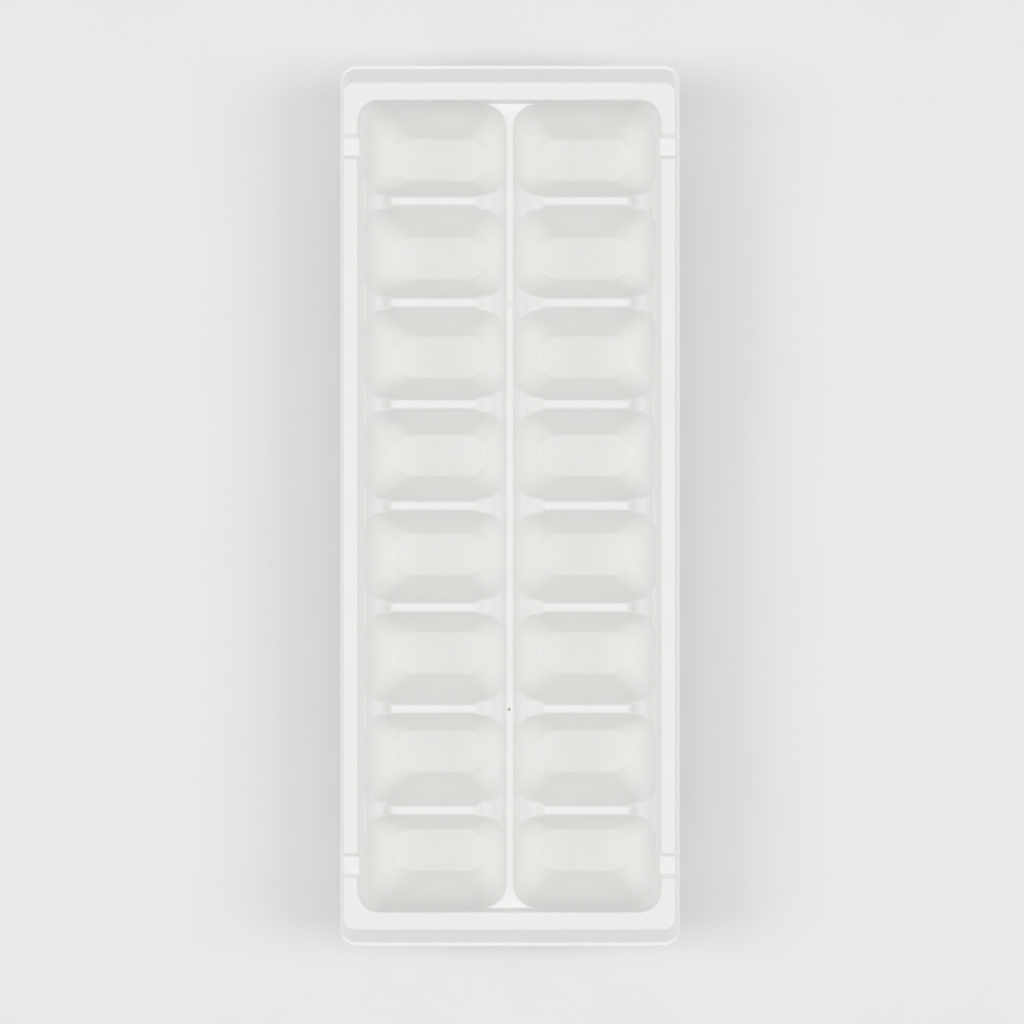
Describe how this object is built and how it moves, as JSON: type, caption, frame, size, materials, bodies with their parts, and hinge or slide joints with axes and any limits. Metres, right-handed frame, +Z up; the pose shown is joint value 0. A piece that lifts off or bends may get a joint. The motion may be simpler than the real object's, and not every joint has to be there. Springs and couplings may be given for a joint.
{
  "type": "ice cube tray",
  "caption": "Long one-piece ice cube tray: scooped cups on both sides of a centre rib, joined by low overflow saddles, in a basin with a flared rim skirt.",
  "frame": {"origin": "middle of the tray's footprint, on the plane that the cup bottoms rest on", "axes": "+X across the tray, +Y along it, +Z up out of the cups"},
  "size_m": [0.1206, 0.313, 0.038],
  "materials": {
    "tray_plastic": "satin white moulded polypropylene, fine even texture, slightly glossier rim"
  },
  "bodies": {
    "root": {"tray": "tray_plastic"}
  },
  "joints": []
}
